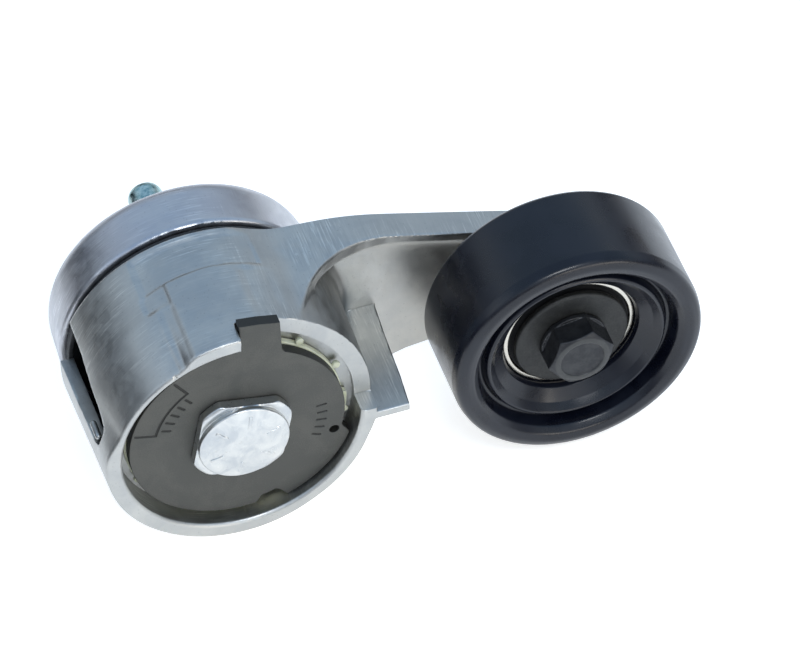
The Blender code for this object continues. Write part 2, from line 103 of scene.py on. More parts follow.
def contour(field, low, high, h):
    """Dual contouring of field(x, y, w) < 0: sharp edges stay sharp and blends stay smooth."""
    axes = [np.arange(lo, hi + h, h) for lo, hi in zip(low, high)]
    size = [len(a) for a in axes]
    values = field(axes[0][:, None, None], axes[1][None, :, None], axes[2][None, None, :])
    values = np.ascontiguousarray(np.broadcast_to(values, size)).astype(np.float32)
    inside = values < 0
    cells = [s - 1 for s in size]
    edge_cells, edge_points, edge_flip = [], [], []
    for d in range(3):
        first = [slice(None)] * 3
        second = [slice(None)] * 3
        first[d], second[d] = slice(0, -1), slice(1, None)
        a, b = inside[tuple(first)], inside[tuple(second)]
        idx = np.argwhere(a != b)
        u, v = (d + 1) % 3, (d + 2) % 3
        keep = (idx[:, u] > 0) & (idx[:, u] < size[u] - 1) & (idx[:, v] > 0) & (idx[:, v] < size[v] - 1)
        idx = idx[keep]
        nxt = idx.copy()
        nxt[:, d] += 1
        f0, f1 = values[tuple(idx.T)], values[tuple(nxt.T)]
        start = np.stack([axes[k][idx[:, k]] for k in range(3)], 1)
        edge_points.append(crossing(field, start, d, h, f0, f1))
        around = []
        for du, dv in ((-1, -1), (0, -1), (0, 0), (-1, 0)):
            c = idx.copy()
            c[:, u] += du
            c[:, v] += dv
            around.append((c[:, 0] * cells[1] + c[:, 1]) * cells[2] + c[:, 2])
        edge_cells.append(np.stack(around, 1))
        edge_flip.append(~(f0 < 0))
    around = np.concatenate(edge_cells)
    p = np.concatenate(edge_points)
    flip = np.concatenate(edge_flip)
    e = 0.03
    n = np.stack(
        [
            field(p[:, 0] + e * (k == 0), p[:, 1] + e * (k == 1), p[:, 2] + e * (k == 2))
            - field(p[:, 0] - e * (k == 0), p[:, 1] - e * (k == 1), p[:, 2] - e * (k == 2))
            for k in range(3)
        ],
        1,
    )
    n /= np.maximum(np.linalg.norm(n, axis=1), 1e-9)[:, None]
    active, inverse = np.unique(around, return_inverse=True)
    inverse = inverse.reshape(around.shape)
    m = len(active)
    flat = inverse.ravel()

    def gather(per_edge):
        return np.bincount(flat, weights=np.repeat(per_edge, 4), minlength=m)

    count = np.bincount(flat, minlength=m).astype(float)
    mass = np.stack([gather(p[:, k]) for k in range(3)], 1) / count[:, None]
    dist = (n * p).sum(1)
    ata = np.empty((m, 3, 3))
    atb = np.empty((m, 3))
    for i in range(3):
        atb[:, i] = gather(n[:, i] * dist)
        for j in range(i, 3):
            ata[:, i, j] = ata[:, j, i] = gather(n[:, i] * n[:, j])
    rhs = atb - np.einsum("nij,nj->ni", ata, mass)
    ata[:, [0, 1, 2], [0, 1, 2]] += 0.04 * count[:, None]
    step = np.linalg.solve(ata, rhs[:, :, None])[:, :, 0]
    vertex = mass + step
    k2 = active % cells[2]
    k1 = (active // cells[2]) % cells[1]
    k0 = active // (cells[2] * cells[1])
    corner = np.stack([axes[0][k0], axes[1][k1], axes[2][k2]], 1)
    vertex = np.clip(vertex, corner, corner + h)
    quads = np.where(flip[:, None], inverse[:, ::-1], inverse)
    return vertex, quads


def carve(name, field, low, high, h, made, body, replaces=(), x=0.0, smooth_angle=32.0):
    points, quads = contour(field, low, high, h)
    obj = mesh_object(name, to_row(points, x), quads, made, smooth_angle)
    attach(obj, body)
    if replaces:
        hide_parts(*replaces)
    return obj


def turned(name, profile, made, body, replaces=(), x=0.0, steps=192, closed=True, smooth_angle=40.0):
    """A turned body from a profile of (radius, w), anticlockwise as seen with radius to the right and w up."""
    area = sum(
        profile[i][0] * profile[(i + 1) % len(profile)][1] - profile[(i + 1) % len(profile)][0] * profile[i][1]
        for i in range(len(profile))
    )
    if area < 0:
        profile = profile[::-1]
    a = np.arange(steps) * 2 * math.pi / steps
    points, rings = [], []
    for r, w in profile:
        if r < 1e-6:
            rings.append([sum(len(q) for q in points)])
            points.append(np.array([[0.0, 0.0, w]]))
        else:
            base = sum(len(q) for q in points)
            rings.append(list(range(base, base + steps)))
            points.append(np.stack([r * np.cos(a), r * np.sin(a), np.full(steps, w)], 1))
    faces = []
    for i in range(len(rings)):
        one, two = rings[i], rings[(i + 1) % len(rings)]
        if len(one) == 1 and len(two) == 1:
            continue
        for k in range(steps):
            q = (k + 1) % steps
            if len(one) == 1:
                faces.append((one[0], two[k], two[q])[::-1])
            elif len(two) == 1:
                faces.append((one[k], two[0], one[q])[::-1])
            else:
                faces.append((one[k], one[q], two[q], two[k]))
    mesh = bpy.data.meshes.new(name)
    mesh.from_pydata([tuple(p) for p in to_row(np.concatenate(points), x)], [], faces)
    mesh.update()
    mesh.polygons.foreach_set("use_smooth", np.ones(len(mesh.polygons), bool))
    mesh.set_sharp_from_angle(angle=math.radians(smooth_angle))
    obj = bpy.data.objects.new(name, mesh)
    bpy.context.scene.collection.objects.link(obj)
    mesh.materials.append(made)
    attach(obj, body)
    if replaces:
        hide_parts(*replaces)
    return obj


def rounded(profile, radius, parts=5):
    """The profile with each corner rounded, as far as its sides allow. A corner may carry its own radius."""
    out = []
    n = len(profile)
    for i in range(n):
        r, w = profile[i][:2]
        want = profile[i][2] if len(profile[i]) > 2 else radius
        p = np.array([r, w], float)
        a = np.array(profile[i - 1][:2], float) - p
        b = np.array(profile[(i + 1) % n][:2], float) - p
        la, lb = np.linalg.norm(a), np.linalg.norm(b)
        if want <= 0 or la < 1e-6 or lb < 1e-6 or r < 1e-6:
            out.append((r, w))
            continue
        a, b = a / la, b / lb
        cosine = float(np.clip(a @ b, -1, 1))
        half = 0.5 * math.acos(cosine)
        if half > math.radians(87):
            out.append((r, w))
            continue
        cut = min(want / math.tan(half), 0.48 * la, 0.48 * lb)
        real = cut * math.tan(half)
        centre = p + (a + b) / np.linalg.norm(a + b) * (real / math.sin(half))
        s, e = p + a * cut, p + b * cut
        sa = math.atan2(*(s - centre)[::-1])
        ea = math.atan2(*(e - centre)[::-1])
        turn = (ea - sa + math.pi) % (2 * math.pi) - math.pi
        for k in range(parts + 1):
            t = sa + turn * k / parts
            out.append((centre[0] + real * math.cos(t), centre[1] + real * math.sin(t)))
    return out


# ---------------------------------------------------------------- distance helpers
def smin(a, b, k):
    h = np.maximum(k - np.abs(a - b), 0.0) / k
    return np.minimum(a, b) - h * h * k * 0.25


def smax(a, b, k):
    h = np.maximum(k - np.abs(a - b), 0.0) / k
    return np.maximum(a, b) + h * h * k * 0.25


def soft(edge0, edge1, value):
    t = np.clip((value - edge0) / (edge1 - edge0), 0.0, 1.0)
    return t * t * (3 - 2 * t)


def band(value, low, high, width):
    return soft(low - width, low + width, value) * (1 - soft(high - width, high + width, value))


def polygon(px, py, outline):
    """Signed distance to a closed outline, negative inside."""
    best = None
    odd = None
    n = len(outline)
    for i in range(n):
        ax, ay = outline[i]
        bx, by = outline[(i + 1) % n]
        ex, ey = bx - ax, by - ay
        wx, wy = px - ax, py - ay
        t = np.clip((wx * ex + wy * ey) / (ex * ex + ey * ey), 0.0, 1.0)
        d = (wx - ex * t) ** 2 + (wy - ey * t) ** 2
        best = d if best is None else np.minimum(best, d)
        c1, c2 = py >= ay, py < by
        c3 = ex * wy > ey * wx
        flip = (c1 & c2 & c3) | (~c1 & ~c2 & ~c3)
        odd = flip if odd is None else odd ^ flip
    return np.sqrt(best) * np.where(odd, -1.0, 1.0)


def arc(radius, a0, a1, count, cx=0.0, cy=0.0):
    return [
        (cx + radius * math.cos(math.radians(a0 + (a1 - a0) * i / count)), cy + radius * math.sin(math.radians(a0 + (a1 - a0) * i / count)))
        for i in range(count + 1)
    ]


def wobble(x, y, w, scale, seed):
    """Slow unevenness of a casting, within about -1 and 1."""
    s = 1.0 / scale
    return (
        np.sin(x * s * 1.9 + y * s * 0.7 + seed) * np.cos(w * s * 1.7 - y * s * 1.1 + 2.1 * seed)
        + 0.5 * np.sin(w * s * 3.1 + x * s * 2.3 - 1.3 * seed) * np.cos(y * s * 3.7 + 0.9 * seed)
    ) / 1.5


# ---------------------------------------------------------------- material helpers
class Paint:
    """A small builder round one Principled material."""

    def __init__(self, name, colour, metallic=0.0, roughness=0.5):
        self.made = bpy.data.materials.new(name)
        self.made.use_nodes = True
        self.tree = self.made.node_tree
        self.shader = self.tree.nodes["Principled BSDF"]
        self.shader.inputs["Metallic"].default_value = metallic
        self.shader.inputs["Roughness"].default_value = roughness
        self.shader.inputs["Base Color"].default_value = (*colour, 1.0)
        self.made.diffuse_color = (*colour, 1.0)
        self.where = self.tree.nodes.new("ShaderNodeTexCoord").outputs["Object"]
        self.height = None

    def node(self, kind, **values):
        made = self.tree.nodes.new(kind)
        for key, value in values.items():
            setattr(made, key, value)
        return made

    def link(self, a, b):
        self.tree.links.new(a, b)

    def mapped(self, scale=(1, 1, 1), turn=(0, 0, 0), source=None):
        m = self.node("ShaderNodeMapping")
        m.inputs["Scale"].default_value = scale
        m.inputs["Rotation"].default_value = turn
        self.link(source or self.where, m.inputs["Vector"])
        return m.outputs["Vector"]

    def noise(self, scale, detail=3.0, rough=0.55, distortion=0.0, source=None):
        n = self.node("ShaderNodeTexNoise")
        n.inputs["Scale"].default_value = scale
        n.inputs["Detail"].default_value = detail
        n.inputs["Roughness"].default_value = rough
        n.inputs["Distortion"].default_value = distortion
        self.link(source or self.where, n.inputs["Vector"])
        return n.outputs["Fac"]

    def cells(self, scale, feature="F1", source=None, randomness=1.0):
        n = self.node("ShaderNodeTexVoronoi", feature=feature)
        n.inputs["Scale"].default_value = scale
        n.inputs["Randomness"].default_value = randomness
        self.link(source or self.where, n.inputs["Vector"])
        return n.outputs["Distance"]

    def ramp(self, value, low, high, out_low=0.0, out_high=1.0, smooth=True):
        n = self.node("ShaderNodeMapRange", interpolation_type="SMOOTHSTEP" if smooth else "LINEAR")
        n.inputs["From Min"].default_value = low
        n.inputs["From Max"].default_value = high
        n.inputs["To Min"].default_value = out_low
        n.inputs["To Max"].default_value = out_high
        self.link(value, n.inputs["Value"])
        return n.outputs["Result"]

    def math(self, operation, a, b=None, c=None):
        n = self.node("ShaderNodeMath", operation=operation)
        for i, v in enumerate((a, b, c)):
            if v is None:
                continue
            if isinstance(v, (int, float)):
                n.inputs[i].default_value = v
            else:
                self.link(v, n.inputs[i])
        return n.outputs[0]

    def mix(self, factor, a, b):
        n = self.node("ShaderNodeMix", data_type="RGBA")
        for key, v in (("Factor", factor), ("A", a), ("B", b)):
            sockets = [s for s in n.inputs if s.name == key and s.enabled]
            s = sockets[0]
            if isinstance(v, tuple):
                s.default_value = (*v, 1.0)
            elif isinstance(v, (int, float)):
                s.default_value = v
            else:
                self.link(v, s)
        return [s for s in n.outputs if s.enabled][0]

    def axis(self, which):
        n = self.node("ShaderNodeSeparateXYZ")
        self.link(self.where, n.inputs[0])
        return n.outputs[which]

    def off_front(self):
        """One on the turned and cast sides, nothing on the faces square to the pivot."""
        parts = self.node("ShaderNodeSeparateXYZ")
        self.link(self.node("ShaderNodeNewGeometry").outputs["Normal"], parts.inputs[0])
        return self.ramp(self.math("ABSOLUTE", parts.outputs["Y"]), 0.45, 0.8, 1.0, 0.06)

    def pointiness(self):
        return self.node("ShaderNodeNewGeometry").outputs["Pointiness"]

    def colour(self, socket):
        self.link(socket, self.shader.inputs["Base Color"])

    def rough(self, socket):
        self.link(socket, self.shader.inputs["Roughness"])

    def bump(self, value, depth_mm, strength=1.0):
        """Adds a height to the surface, in millimetres for a value of one."""
        n = self.node("ShaderNodeBump")
        n.inputs["Distance"].default_value = depth_mm * 0.001
        n.inputs["Strength"].default_value = strength
        self.link(value, n.inputs["Height"])
        if self.height is not None:
            self.link(self.height, n.inputs["Normal"])
        self.height = n.outputs["Normal"]
        self.link(self.height, self.shader.inputs["Normal"])


def aluminium(name, light, dark, rough_low, rough_high, rubbing_and_highlight=0.5, seed=0.0):
    """Die-cast aluminium: fine skin, slow tone changes, rubbed marks that are partly painted highlight, small pores, a
    painted highlight on convex edges and painted shade in creases.
    """
    p = Paint(name, light, 1.0, 0.4)
    shifted = p.node("ShaderNodeVectorMath", operation="ADD")
    shifted.inputs[1].default_value = (seed, seed * 0.7, -seed)
    p.link(p.where, shifted.inputs[0])
    spot = shifted.outputs[0]
    slow = p.noise(55.0, 4.0, 0.6, 0.6, source=spot)
    middle = p.noise(240.0, 4.0, 0.62, 0.3, source=spot)
    grain = p.noise(1700.0, 3.0, 0.6, source=spot)
    pores = p.ramp(p.cells(620.0, source=spot), 0.05, 0.16)
    tone = p.math("ADD", p.math("MULTIPLY", slow, 0.62), p.math("MULTIPLY", middle, 0.38))
    base = p.mix(p.ramp(tone, 0.34, 0.66), dark, light)
    if rubbing_and_highlight:
        across = p.mapped((2600.0, 120.0, 140.0), (0.0, 0.0, 0.22), source=spot)
        along = p.mapped((140.0, 2300.0, 140.0), (0.25, 0.0, 0.0), source=spot)
        lines_a = p.noise(1.0, 2.0, 0.5, source=across)
        lines_b = p.noise(1.0, 2.0, 0.5, source=along)
        # rubbed marks, lightened partly as painted highlight, run across the arm on the rib and round the cup on its
        # far side
        side = p.ramp(p.axis("X"), 0.004, 0.018)
        lines = p.node("ShaderNodeMix", data_type="FLOAT")
        sockets = [s for s in lines.inputs if s.enabled]
        p.link(side, sockets[0])
        p.link(lines_b, sockets[1])
        p.link(lines_a, sockets[2])
        lines = [s for s in lines.outputs if s.enabled][0]
        patch = p.math("MULTIPLY", p.ramp(p.noise(46.0, 3.0, 0.6, 0.6, source=spot), 0.42, 0.64, 0.12, 1.0), p.off_front())
        rubbed_strokes_and_highlights = p.math("MULTIPLY", p.ramp(lines, 0.52, 0.70), patch)
        scores = p.math("MULTIPLY", p.ramp(lines, 0.46, 0.34), patch)
        # lighter strokes in the patches: partly real rubbed metal, partly painted highlight standing in for sheen on
        # the cast sides
        base = p.mix(p.math("MULTIPLY", rubbed_strokes_and_highlights, rubbing_and_highlight), base, tuple(min(1.0, c * 1.55) for c in light))
        base = p.mix(p.math("MULTIPLY", scores, 0.5 * rubbing_and_highlight), base, tuple(c * 0.66 for c in dark))
    base = p.mix(p.math("MULTIPLY", p.math("SUBTRACT", 1.0, pores), 0.35), base, tuple(c * 0.45 for c in dark))
    # convex edges are painted lighter below: a painted edge highlight
    edge = p.ramp(p.pointiness(), 0.54, 0.64)
    # concave creases are painted darker below: painted shade standing in for the shadow in the valleys
    painted_crease_shade = p.ramp(p.pointiness(), 0.40, 0.475, 1.0, 0.0)
    base = p.mix(p.math("MULTIPLY", edge, 0.55), base, tuple(min(1.0, c * 1.2) for c in light))
    base = p.mix(p.math("MULTIPLY", painted_crease_shade, 0.55), base, tuple(c * 0.4 for c in dark))
    p.colour(base)
    r = p.math("ADD", p.ramp(middle, 0.3, 0.7, rough_low, rough_high), p.math("MULTIPLY", edge, -0.10))
    if rubbing_and_highlight:
        r = p.math("ADD", r, p.math("MULTIPLY", rubbed_strokes_and_highlights, -0.06))
    p.rough(r)
    p.bump(slow, 0.35, 0.2)
    p.bump(middle, 0.07, 0.4)
    p.bump(grain, 0.022, 0.7)
    if rubbing_and_highlight:
        p.bump(rubbed_strokes_and_highlights, 0.02, 0.6)
    p.bump(pores, 0.04, 0.5)
    return p.made


# ---------------------------------------------------------------- materials
cast_arm = aluminium("cast_aluminium_arm", (0.52, 0.515, 0.485), (0.425, 0.427, 0.415), 0.36, 0.48, 0.5, 0.0)
cast_base = aluminium("cast_aluminium_base", (0.54, 0.545, 0.56), (0.46, 0.465, 0.50), 0.32, 0.44, 0.35, 3.7)

p = Paint("phosphated_steel", (0.075, 0.073, 0.064), 0.5, 0.55)
fine = p.noise(2600.0, 3.0, 0.6)
cloud = p.noise(70.0, 4.0, 0.6, 0.5)
base = p.mix(p.ramp(p.math("ADD", p.math("MULTIPLY", fine, 0.35), p.math("MULTIPLY", cloud, 0.65)), 0.4, 0.62), (0.066, 0.065, 0.057), (0.098, 0.095, 0.083))
# painted shade: below the top face the plate is painted much darker, which darkens the rolled grooves and also the
# plate's edges and underside
painted_groove_shade = p.ramp(p.axis("Y"), -0.06496, -0.06476)
p.colour(p.mix(p.math("MULTIPLY", painted_groove_shade, 0.7), base, (0.018, 0.017, 0.015)))
p.rough(p.ramp(cloud, 0.3, 0.7, 0.46, 0.62))
p.bump(fine, 0.02, 0.6)
p.bump(p.noise(420.0, 2.0), 0.03, 0.35)
plate_paint = p.made

p = Paint("bright_zinc", (0.78, 0.79, 0.80), 1.0, 0.25)
fine = p.noise(900.0, 4.0, 0.65, 0.4)
cloud = p.noise(160.0, 4.0, 0.6, 0.8)
spots = p.ramp(p.noise(330.0, 5.0, 0.7, 0.6), 0.62, 0.70)
base = p.mix(p.ramp(cloud, 0.30, 0.70), (0.50, 0.515, 0.52), (0.67, 0.665, 0.635))
base = p.mix(p.math("MULTIPLY", spots, 0.35), base, (0.46, 0.45, 0.40))
p.colour(base)
p.rough(p.math("ADD", p.ramp(fine, 0.3, 0.7, 0.27, 0.38), p.math("MULTIPLY", spots, 0.08)))
p.bump(fine, 0.014, 0.4)
p.bump(cloud, 0.05, 0.3)
zinc = p.made

p = Paint("pin_zinc_blue", (0.38, 0.52, 0.52), 1.0, 0.3)
fine = p.noise(700.0, 4.0, 0.6)
p.colour(p.mix(p.ramp(fine, 0.35, 0.65), (0.22, 0.36, 0.37), (0.50, 0.64, 0.62)))
p.rough(p.ramp(fine, 0.3, 0.7, 0.22, 0.42))
p.bump(fine, 0.05, 0.5)
pin_zinc = p.made


def turned_steel(name, light, dark, rough_low, rough_high, axis_x=0.0):
    """Machined steel with fine turning marks round the given axis."""
    p = Paint(name, light, 1.0, 0.3)
    middle = p.node("ShaderNodeVectorMath", operation="SUBTRACT")
    middle.inputs[1].default_value = (axis_x * 0.001, 0.0, 0.0)
    p.link(p.where, middle.inputs[0])
    parts = p.node("ShaderNodeSeparateXYZ")
    p.link(middle.outputs[0], parts.inputs[0])
    radius = p.math("SQRT", p.math("ADD", p.math("POWER", parts.outputs["X"], 2.0), p.math("POWER", parts.outputs["Z"], 2.0)))
    joined = p.node("ShaderNodeCombineXYZ")
    p.link(p.math("MULTIPLY", radius, 5200.0), joined.inputs[0])
    p.link(p.math("MULTIPLY", parts.outputs["Y"], 5200.0), joined.inputs[1])
    marks = p.noise(1.0, 2.0, 0.5, source=joined.outputs[0])
    smear = p.noise(300.0, 3.0, 0.6)
    p.colour(p.mix(p.ramp(p.math("ADD", p.math("MULTIPLY", marks, 0.5), p.math("MULTIPLY", smear, 0.5)), 0.38, 0.62), dark, light))
    p.rough(p.ramp(smear, 0.3, 0.7, rough_low, rough_high))
    p.bump(marks, 0.012, 0.5)
    return p.made


tube_steel = turned_steel("tube_steel", (0.62, 0.62, 0.62), (0.42, 0.42, 0.43), 0.25, 0.42)
race_steel = turned_steel("bearing_steel", (0.66, 0.62, 0.54), (0.54, 0.51, 0.45), 0.22, 0.34, CENTRES)
inner_steel = turned_steel("inner_race_steel", (0.80, 0.80, 0.80), (0.62, 0.62, 0.63), 0.12, 0.25, CENTRES)
shield_steel = turned_steel("dust_shield_steel", (0.55, 0.55, 0.56), (0.38, 0.38, 0.39), 0.28, 0.42, CENTRES)
spacer_steel = turned_steel("spacer_steel", (0.58, 0.58, 0.58), (0.42, 0.42, 0.42), 0.28, 0.4, CENTRES)
ball_steel = turned_steel("ball_steel", (0.88, 0.88, 0.88), (0.80, 0.80, 0.81), 0.05, 0.10, CENTRES)
cage_metal = turned_steel("cage_steel", (0.58, 0.54, 0.46), (0.44, 0.41, 0.35), 0.3, 0.45, CENTRES)


def polymer(name, light, dark, rough_low, rough_high, grain=900.0):
    p = Paint(name, light, 0.0, 0.5)
    slow = p.noise(150.0, 3.0, 0.6)
    fine = p.noise(grain, 3.0, 0.6)
    p.colour(p.mix(p.ramp(slow, 0.35, 0.65), dark, light))
    p.rough(p.ramp(fine, 0.3, 0.7, rough_low, rough_high))
    p.bump(fine, 0.03, 0.5)
    return p


nylon = polymer("natural_nylon", (0.62, 0.62, 0.46), (0.48, 0.49, 0.34), 0.42, 0.6)
nylon.shader.inputs["Subsurface Weight"].default_value = 0.15
nylon.shader.inputs["Subsurface Radius"].default_value = (0.002, 0.002, 0.001)
nylon = nylon.made
black_nylon = polymer("black_nylon", (0.035, 0.035, 0.036), (0.02, 0.02, 0.021), 0.5, 0.68).made
bush = polymer("bushing_polymer", (0.30, 0.24, 0.15), (0.20, 0.16, 0.10), 0.4, 0.55).made
seal_rubber = polymer("seal_rubber", (0.008, 0.008, 0.0085), (0.004, 0.004, 0.0045), 0.6, 0.8, 1400.0)
seal_rubber.shader.inputs["Specular IOR Level"].default_value = 0.25
seal_rubber = seal_rubber.made

p = Paint("spring_steel", (0.12, 0.12, 0.125), 0.9, 0.4)
scale = p.noise(500.0, 4.0, 0.65)
p.colour(p.mix(p.ramp(scale, 0.35, 0.65), (0.06, 0.06, 0.065), (0.18, 0.17, 0.16)))
p.rough(p.ramp(scale, 0.3, 0.7, 0.3, 0.55))
p.bump(scale, 0.04, 0.5)
spring_steel = p.made
leaf_steel = turned_steel("leaf_steel", (0.45, 0.45, 0.47), (0.30, 0.30, 0.32), 0.22, 0.38)

p = Paint("gloss_black_coat", (0.010, 0.012, 0.020), 0.0, 0.30)
p.shader.inputs["IOR"].default_value = 1.42
p.shader.inputs["Coat Weight"].default_value = 0.12
p.shader.inputs["Coat Roughness"].default_value = 0.14
peel = p.noise(900.0, 2.0, 0.5)
dust = p.noise(2600.0, 4.0, 0.7)
cloud = p.noise(90.0, 3.0, 0.5, 0.3)
motes = p.ramp(p.cells(420.0), 0.015, 0.05, 1.0, 0.0)
base = p.mix(p.ramp(cloud, 0.35, 0.65), (0.0022, 0.003, 0.007), (0.0045, 0.0058, 0.0115))
base = p.mix(p.math("MULTIPLY", motes, 0.10), base, (0.10, 0.10, 0.11))
p.colour(base)
p.rough(p.math("ADD", p.ramp(cloud, 0.3, 0.7, 0.22, 0.34), p.math("MULTIPLY", p.ramp(dust, 0.5, 0.8), 0.08)))
p.bump(peel, 0.012, 0.35)
pulley_paint = p.made

p = Paint("satin_black_cap", (0.035, 0.036, 0.034), 0.25, 0.5)
fine = p.noise(1500.0, 4.0, 0.65)
cloud = p.noise(200.0, 4.0, 0.6, 0.6)
scuff = p.ramp(p.noise(620.0, 5.0, 0.75, 0.8), 0.60, 0.72)
base = p.mix(p.ramp(cloud, 0.35, 0.65), (0.008, 0.0082, 0.0078), (0.016, 0.0162, 0.0148))
p.colour(p.mix(p.math("MULTIPLY", scuff, 0.4), base, (0.085, 0.085, 0.078)))
p.rough(p.ramp(fine, 0.3, 0.7, 0.40, 0.60))
p.bump(fine, 0.03, 0.5)
p.bump(cloud, 0.12, 0.3)
cap_black = p.made

p = Paint("black_oxide_steel", (0.030, 0.031, 0.033), 0.55, 0.42)
fine = p.noise(1300.0, 4.0, 0.65)
cloud = p.noise(260.0, 3.0, 0.6)
worn = p.ramp(p.pointiness(), 0.51, 0.60)
base = p.mix(p.ramp(cloud, 0.35, 0.65), (0.020, 0.021, 0.024), (0.038, 0.039, 0.041))
base = p.mix(p.math("MULTIPLY", worn, 0.5), base, (0.13, 0.13, 0.13))
face = p.ramp(p.axis("Y"), -0.07228, -0.07250)
p.colour(p.mix(p.math("MULTIPLY", face, 0.75), base, (0.060, 0.061, 0.059)))
p.rough(p.ramp(fine, 0.3, 0.7, 0.34, 0.52))
p.bump(fine, 0.02, 0.5)
bolt_black = p.made


# ---------------------------------------------------------------- arm casting
def eased(points, step, spread):
    """The line through the points, resampled and with its corners eased."""
    px, py = zip(*points)
    sx = np.arange(px[0], px[-1] + 1e-6, step)
    reach = np.linspace(-2.5 * spread, 2.5 * spread, 31)
    weight = np.exp(-0.5 * (reach / spread) ** 2)
    weight /= weight.sum()
    slope0 = (py[1] - py[0]) / (px[1] - px[0])
    slope1 = (py[-1] - py[-2]) / (px[-1] - px[-2])
    at = sx[:, None] + reach[None, :]
    value = np.interp(at, px, py)
    value = np.where(at < px[0], py[0] + (at - px[0]) * slope0, value)
    value = np.where(at > px[-1], py[-1] + (at - px[-1]) * slope1, value)
    return [(float(a), float(b)) for a, b in zip(sx, (value * weight).sum(1))]


TOP_LINE = eased([(16.0, 34.6), (24.0, 33.95), (34.0, 33.5), (40.0, 32.9), (46.0, 31.9), (53.0, 30.2), (60.0, 28.0), (75.0, 23.2), (90.0, 18.4), (103.0, 14.1)], 3.0, 2.5)
TOP_CLIP = eased([(-10.0, 42.4), (7.0, 42.4), (16.5, 37.3), (24.0, 34.35), (34.0, 33.7), (40.0, 33.1), (46.0, 32.1), (53.0, 30.4), (60.0, 28.2), (90.0, 18.6), (130.0, 5.4)], 2.0, 2.5)
WEB_OUTLINE = TOP_LINE[:-3] + arc(14.0, 72, -66, 12, CENTRES, 0.0) + [
    (86.0, -19.6), (76.0, -23.6), (68.5, -25.7), (61.6, -26.5), (57.6, -27.7), (50.0, -29.4), (44.0, -31.5), (36.0, -34.0), (20.0, -34.0), (14.0, 0.0)]
RIB_OUTLINE = TOP_LINE + [(px + 0.9, py - 2.7 - 1.8 * min(1.0, max(0.0, (58.0 - px) / 16.0))) for px, py in TOP_LINE[::-1]]
RIB_X, RIB_W = zip(*eased([(15.0, -8.0), (22.5, -11.0), (25.0, -15.5), (28.5, -21.5), (33.5, -26.6), (40.0, -30.6), (47.0, -33.3), (55.0, -34.8), (80.0, -35.3), (120.0, -35.3)], 0.7, 1.3))
LUG_OUTLINE = [(30.0, 0.2), (49.8, 0.2), (50.8, -11.3), (51.6, -28.2), (52.6, -41.7), (51.1, -43.2), (30.0, -43.5)]
REAR_W = -43.7
WEB_FRONT = -40.6


